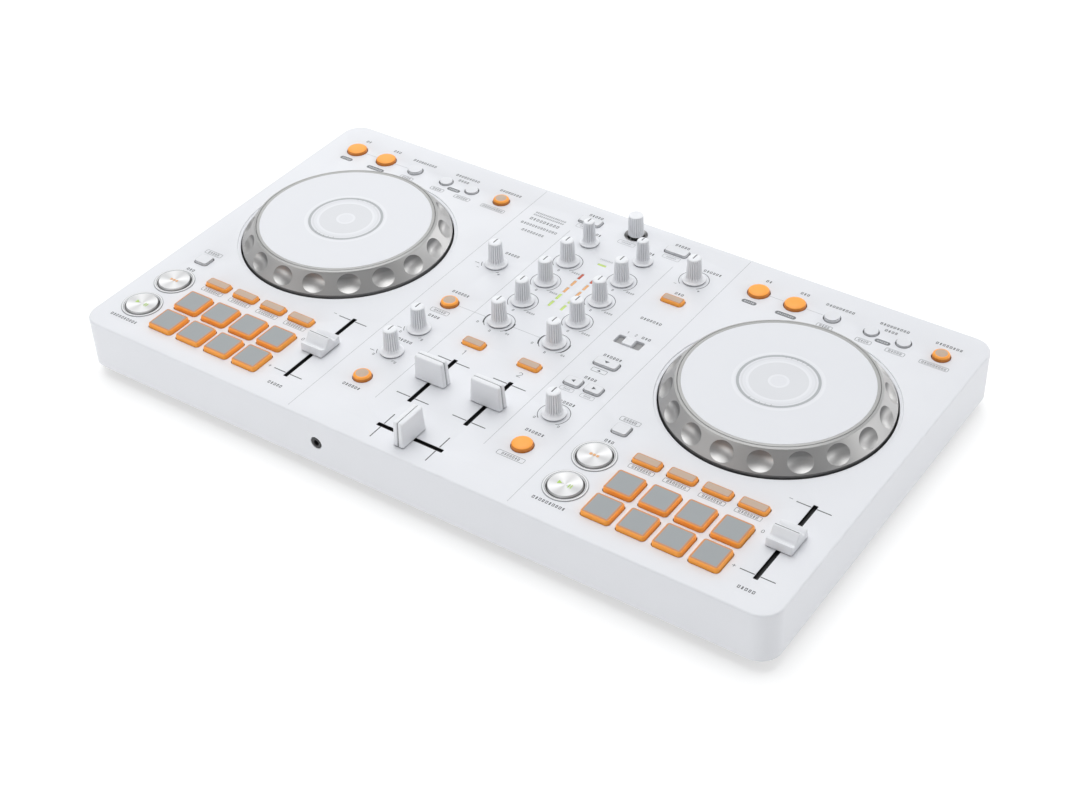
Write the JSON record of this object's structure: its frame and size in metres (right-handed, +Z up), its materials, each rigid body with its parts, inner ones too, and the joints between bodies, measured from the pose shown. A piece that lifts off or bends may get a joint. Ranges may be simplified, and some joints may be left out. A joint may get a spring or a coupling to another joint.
{
  "type": "dj controller",
  "caption": "Flat two-deck DJ controller: turning jog wheels, mixer with knobs and faders, transport keys and trigger pads.",
  "frame": {"origin": "on the table, under the middle of the case", "axes": "+X from deck 1 on the left to deck 2 on the right, +Y from the user's side to the rear sockets, +Z up out of the panel"},
  "size_m": [0.482, 0.27, 0.0589],
  "materials": {
    "case_white": "fine matt moulded plastic",
    "cover_grey": "matt moulded plastic",
    "foot_rubber": "matt",
    "screw_steel": "dark zinc",
    "board_green": "solder mask",
    "pot_grey": "satin",
    "socket_black": "satin moulded plastic",
    "spindle_metal": "turned",
    "lens_lit": "clear moulded lens, lit",
    "jog_silver": "satin vacuum-metallised plastic",
    "jog_white": "fine matt",
    "knob_white": "satin",
    "key_orange": "translucent, lit orange, grey printed top",
    "key_white": "satin",
    "key_silver": "spun",
    "pad_grey": "soft matt, orange lit edges",
    "cap_white": "satin"
  },
  "bodies": {
    "case": {"top_case": "case_white", "bottom_cover": "cover_grey", "rubber_feet": "foot_rubber", "case_screws": "screw_steel", "circuit_boards": "board_green", "rotary_pots": "pot_grey", "slide_pots": "pot_grey", "jog_spindles": "spindle_metal", "led_lenses": "lens_lit", "sockets": "socket_black"},
    "deck_1_jog": {"deck_1_jog_ring": "jog_silver", "deck_1_jog_disc": "jog_white"},
    "deck_2_jog": {"deck_2_jog_ring": "jog_silver", "deck_2_jog_disc": "jog_white"},
    "microphone_level_knob": {"microphone_level_knob": "knob_white"},
    "phones_mix_knob": {"phones_mix_knob": "knob_white"},
    "phones_level_knob": {"phones_level_knob": "knob_white"},
    "master_level_knob": {"master_level_knob": "knob_white"},
    "effect_depth_knob": {"effect_depth_knob": "knob_white"},
    "channel_1_filter_knob": {"channel_1_filter_knob": "knob_white"},
    "channel_1_low_knob": {"channel_1_low_knob": "knob_white"},
    "channel_1_mid_knob": {"channel_1_mid_knob": "knob_white"},
    "channel_1_high_knob": {"channel_1_high_knob": "knob_white"},
    "channel_1_trim_knob": {"channel_1_trim_knob": "knob_white"},
    "channel_2_filter_knob": {"channel_2_filter_knob": "knob_white"},
    "channel_2_low_knob": {"channel_2_low_knob": "knob_white"},
    "channel_2_mid_knob": {"channel_2_mid_knob": "knob_white"},
    "channel_2_high_knob": {"channel_2_high_knob": "knob_white"},
    "channel_2_trim_knob": {"channel_2_trim_knob": "knob_white"},
    "browse_shaft": {"browse_shaft": "pot_grey"},
    "browse_knob": {"browse_knob": "knob_white"},
    "deck_1_tempo_cap": {"deck_1_tempo_cap": "cap_white"},
    "deck_2_tempo_cap": {"deck_2_tempo_cap": "cap_white"},
    "channel_1_fader_cap": {"channel_1_fader_cap": "cap_white"},
    "channel_2_fader_cap": {"channel_2_fader_cap": "cap_white"},
    "crossfader_cap": {"crossfader_cap": "cap_white"},
    "effect_channel_switch": {"effect_channel_switch": "cap_white"},
    "deck_1_loop_keys": {"deck_1_loop_keys": "key_orange"},
    "deck_1_sync_key": {"deck_1_sync_key": "key_orange"},
    "deck_1_shift_key": {"deck_1_shift_key": "key_white"},
    "deck_1_cue_key": {"deck_1_cue_key": "key_silver"},
    "deck_1_play_key": {"deck_1_play_key": "key_silver"},
    "deck_1_mode_keys": {"deck_1_mode_keys": "key_orange"},
    "deck_1_pads": {"deck_1_pads": "pad_grey"},
    "deck_2_loop_keys": {"deck_2_loop_keys": "key_orange"},
    "deck_2_sync_key": {"deck_2_sync_key": "key_orange"},
    "deck_2_shift_key": {"deck_2_shift_key": "key_white"},
    "deck_2_cue_key": {"deck_2_cue_key": "key_silver"},
    "deck_2_play_key": {"deck_2_play_key": "key_silver"},
    "deck_2_mode_keys": {"deck_2_mode_keys": "key_orange"},
    "deck_2_pads": {"deck_2_pads": "pad_grey"},
    "load_keys": {"load_keys": "key_white"},
    "channel_1_cue_key": {"channel_1_cue_key": "key_orange"},
    "channel_2_cue_key": {"channel_2_cue_key": "key_orange"},
    "master_cue_key": {"master_cue_key": "key_orange"},
    "fade_assist_key": {"fade_assist_key": "key_orange"},
    "filter_effect_key": {"filter_effect_key": "key_orange"},
    "effect_select_key": {"effect_select_key": "key_white"},
    "beat_keys": {"beat_keys": "key_white"},
    "effect_on_key": {"effect_on_key": "key_orange"}
  },
  "joints": [
    {"name": "deck_1_jog_spin", "type": "hinge", "parent": "case", "child": "deck_1_jog", "pos_m": [-0.157, 0.022, 0.0415], "axis": [0, 0, 1], "continuous": true},
    {"name": "deck_2_jog_spin", "type": "hinge", "parent": "case", "child": "deck_2_jog", "pos_m": [0.157, 0.022, 0.0415], "axis": [0, 0, 1], "continuous": true},
    {"name": "microphone_level_turn", "type": "hinge", "parent": "case", "child": "microphone_level_knob", "pos_m": [-0.057, 0.0465, 0.0415], "axis": [0, 0, -1], "range_deg": [-150, 150]},
    {"name": "phones_mix_turn", "type": "hinge", "parent": "case", "child": "phones_mix_knob", "pos_m": [-0.057, -0.0335, 0.0415], "axis": [0, 0, -1], "range_deg": [-150, 150]},
    {"name": "phones_level_turn", "type": "hinge", "parent": "case", "child": "phones_level_knob", "pos_m": [-0.057, -0.06, 0.0415], "axis": [0, 0, -1], "range_deg": [-150, 150]},
    {"name": "master_level_turn", "type": "hinge", "parent": "case", "child": "master_level_knob", "pos_m": [0.057, 0.097, 0.0415], "axis": [0, 0, -1], "range_deg": [-150, 150]},
    {"name": "effect_depth_turn", "type": "hinge", "parent": "case", "child": "effect_depth_knob", "pos_m": [0.057, -0.057, 0.0415], "axis": [0, 0, -1], "range_deg": [-150, 150]},
    {"name": "channel_1_filter_turn", "type": "hinge", "parent": "case", "child": "channel_1_filter_knob", "pos_m": [-0.02, -0.002, 0.0415], "axis": [0, 0, -1], "range_deg": [-150, 150]},
    {"name": "channel_1_low_turn", "type": "hinge", "parent": "case", "child": "channel_1_low_knob", "pos_m": [-0.02, 0.0227, 0.0415], "axis": [0, 0, -1], "range_deg": [-150, 150]},
    {"name": "channel_1_mid_turn", "type": "hinge", "parent": "case", "child": "channel_1_mid_knob", "pos_m": [-0.02, 0.0474, 0.0415], "axis": [0, 0, -1], "range_deg": [-150, 150]},
    {"name": "channel_1_high_turn", "type": "hinge", "parent": "case", "child": "channel_1_high_knob", "pos_m": [-0.02, 0.0721, 0.0415], "axis": [0, 0, -1], "range_deg": [-150, 150]},
    {"name": "channel_1_trim_turn", "type": "hinge", "parent": "case", "child": "channel_1_trim_knob", "pos_m": [-0.02, 0.0968, 0.0415], "axis": [0, 0, -1], "range_deg": [-150, 150]},
    {"name": "channel_2_filter_turn", "type": "hinge", "parent": "case", "child": "channel_2_filter_knob", "pos_m": [0.02, -0.002, 0.0415], "axis": [0, 0, -1], "range_deg": [-150, 150]},
    {"name": "channel_2_low_turn", "type": "hinge", "parent": "case", "child": "channel_2_low_knob", "pos_m": [0.02, 0.0227, 0.0415], "axis": [0, 0, -1], "range_deg": [-150, 150]},
    {"name": "channel_2_mid_turn", "type": "hinge", "parent": "case", "child": "channel_2_mid_knob", "pos_m": [0.02, 0.0474, 0.0415], "axis": [0, 0, -1], "range_deg": [-150, 150]},
    {"name": "channel_2_high_turn", "type": "hinge", "parent": "case", "child": "channel_2_high_knob", "pos_m": [0.02, 0.0721, 0.0415], "axis": [0, 0, -1], "range_deg": [-150, 150]},
    {"name": "channel_2_trim_turn", "type": "hinge", "parent": "case", "child": "channel_2_trim_knob", "pos_m": [0.02, 0.0968, 0.0415], "axis": [0, 0, -1], "range_deg": [-150, 150]},
    {"name": "browse_press", "type": "slide", "parent": "case", "child": "browse_shaft", "axis": [0, 0, -1], "range_m": [0, 0.0005], "stiffness_N_per_m": 400, "springref_m": -0.002},
    {"name": "browse_turn", "type": "hinge", "parent": "browse_shaft", "child": "browse_knob", "pos_m": [0, 0.1205, 0.0415], "axis": [0, 0, -1], "continuous": true},
    {"name": "deck_1_tempo_slide", "type": "slide", "parent": "case", "child": "deck_1_tempo_cap", "axis": [0, 1, 0], "range_m": [-0.03, 0.03]},
    {"name": "deck_2_tempo_slide", "type": "slide", "parent": "case", "child": "deck_2_tempo_cap", "axis": [0, 1, 0], "range_m": [-0.03, 0.03]},
    {"name": "channel_1_fader_slide", "type": "slide", "parent": "case", "child": "channel_1_fader_cap", "axis": [0, 1, 0], "range_m": [-0.02, 0.02]},
    {"name": "channel_2_fader_slide", "type": "slide", "parent": "case", "child": "channel_2_fader_cap", "axis": [0, 1, 0], "range_m": [-0.02, 0.02]},
    {"name": "crossfader_slide", "type": "slide", "parent": "case", "child": "crossfader_cap", "axis": [1, 0, 0], "range_m": [-0.02, 0.02]},
    {"name": "effect_channel_slide", "type": "slide", "parent": "case", "child": "effect_channel_switch", "axis": [1, 0, 0], "range_m": [-0.0045, 0.0045]},
    {"name": "deck_1_loop_press", "type": "slide", "parent": "case", "child": "deck_1_loop_keys", "axis": [0, 0, -1], "range_m": [0, 0.001], "stiffness_N_per_m": 250, "springref_m": -0.002},
    {"name": "deck_1_sync_press", "type": "slide", "parent": "case", "child": "deck_1_sync_key", "axis": [0, 0, -1], "range_m": [0, 0.001], "stiffness_N_per_m": 250, "springref_m": -0.002},
    {"name": "deck_1_shift_press", "type": "slide", "parent": "case", "child": "deck_1_shift_key", "axis": [0, 0, -1], "range_m": [0, 0.001], "stiffness_N_per_m": 250, "springref_m": -0.002},
    {"name": "deck_1_cue_press", "type": "slide", "parent": "case", "child": "deck_1_cue_key", "axis": [0, 0, -1], "range_m": [0, 0.001], "stiffness_N_per_m": 250, "springref_m": -0.002},
    {"name": "deck_1_play_press", "type": "slide", "parent": "case", "child": "deck_1_play_key", "axis": [0, 0, -1], "range_m": [0, 0.001], "stiffness_N_per_m": 250, "springref_m": -0.002},
    {"name": "deck_1_mode_press", "type": "slide", "parent": "case", "child": "deck_1_mode_keys", "axis": [0, 0, -1], "range_m": [0, 0.001], "stiffness_N_per_m": 250, "springref_m": -0.002},
    {"name": "deck_1_pads_press", "type": "slide", "parent": "case", "child": "deck_1_pads", "axis": [0, 0, -1], "range_m": [0, 0.001], "stiffness_N_per_m": 700, "springref_m": -0.002},
    {"name": "deck_2_loop_press", "type": "slide", "parent": "case", "child": "deck_2_loop_keys", "axis": [0, 0, -1], "range_m": [0, 0.001], "stiffness_N_per_m": 250, "springref_m": -0.002},
    {"name": "deck_2_sync_press", "type": "slide", "parent": "case", "child": "deck_2_sync_key", "axis": [0, 0, -1], "range_m": [0, 0.001], "stiffness_N_per_m": 250, "springref_m": -0.002},
    {"name": "deck_2_shift_press", "type": "slide", "parent": "case", "child": "deck_2_shift_key", "axis": [0, 0, -1], "range_m": [0, 0.001], "stiffness_N_per_m": 250, "springref_m": -0.002},
    {"name": "deck_2_cue_press", "type": "slide", "parent": "case", "child": "deck_2_cue_key", "axis": [0, 0, -1], "range_m": [0, 0.001], "stiffness_N_per_m": 250, "springref_m": -0.002},
    {"name": "deck_2_play_press", "type": "slide", "parent": "case", "child": "deck_2_play_key", "axis": [0, 0, -1], "range_m": [0, 0.001], "stiffness_N_per_m": 250, "springref_m": -0.002},
    {"name": "deck_2_mode_press", "type": "slide", "parent": "case", "child": "deck_2_mode_keys", "axis": [0, 0, -1], "range_m": [0, 0.001], "stiffness_N_per_m": 250, "springref_m": -0.002},
    {"name": "deck_2_pads_press", "type": "slide", "parent": "case", "child": "deck_2_pads", "axis": [0, 0, -1], "range_m": [0, 0.001], "stiffness_N_per_m": 700, "springref_m": -0.002},
    {"name": "load_press", "type": "slide", "parent": "case", "child": "load_keys", "axis": [0, 0, -1], "range_m": [0, 0.001], "stiffness_N_per_m": 250, "springref_m": -0.002},
    {"name": "channel_1_cue_press", "type": "slide", "parent": "case", "child": "channel_1_cue_key", "axis": [0, 0, -1], "range_m": [0, 0.001], "stiffness_N_per_m": 250, "springref_m": -0.002},
    {"name": "channel_2_cue_press", "type": "slide", "parent": "case", "child": "channel_2_cue_key", "axis": [0, 0, -1], "range_m": [0, 0.001], "stiffness_N_per_m": 250, "springref_m": -0.002},
    {"name": "master_cue_press", "type": "slide", "parent": "case", "child": "master_cue_key", "axis": [0, 0, -1], "range_m": [0, 0.001], "stiffness_N_per_m": 250, "springref_m": -0.002},
    {"name": "fade_assist_press", "type": "slide", "parent": "case", "child": "fade_assist_key", "axis": [0, 0, -1], "range_m": [0, 0.001], "stiffness_N_per_m": 250, "springref_m": -0.002},
    {"name": "filter_effect_press", "type": "slide", "parent": "case", "child": "filter_effect_key", "axis": [0, 0, -1], "range_m": [0, 0.001], "stiffness_N_per_m": 250, "springref_m": -0.002},
    {"name": "effect_select_press", "type": "slide", "parent": "case", "child": "effect_select_key", "axis": [0, 0, -1], "range_m": [0, 0.001], "stiffness_N_per_m": 250, "springref_m": -0.002},
    {"name": "beat_press", "type": "slide", "parent": "case", "child": "beat_keys", "axis": [0, 0, -1], "range_m": [0, 0.001], "stiffness_N_per_m": 250, "springref_m": -0.002},
    {"name": "effect_on_press", "type": "slide", "parent": "case", "child": "effect_on_key", "axis": [0, 0, -1], "range_m": [0, 0.001], "stiffness_N_per_m": 250, "springref_m": -0.002}
  ]
}
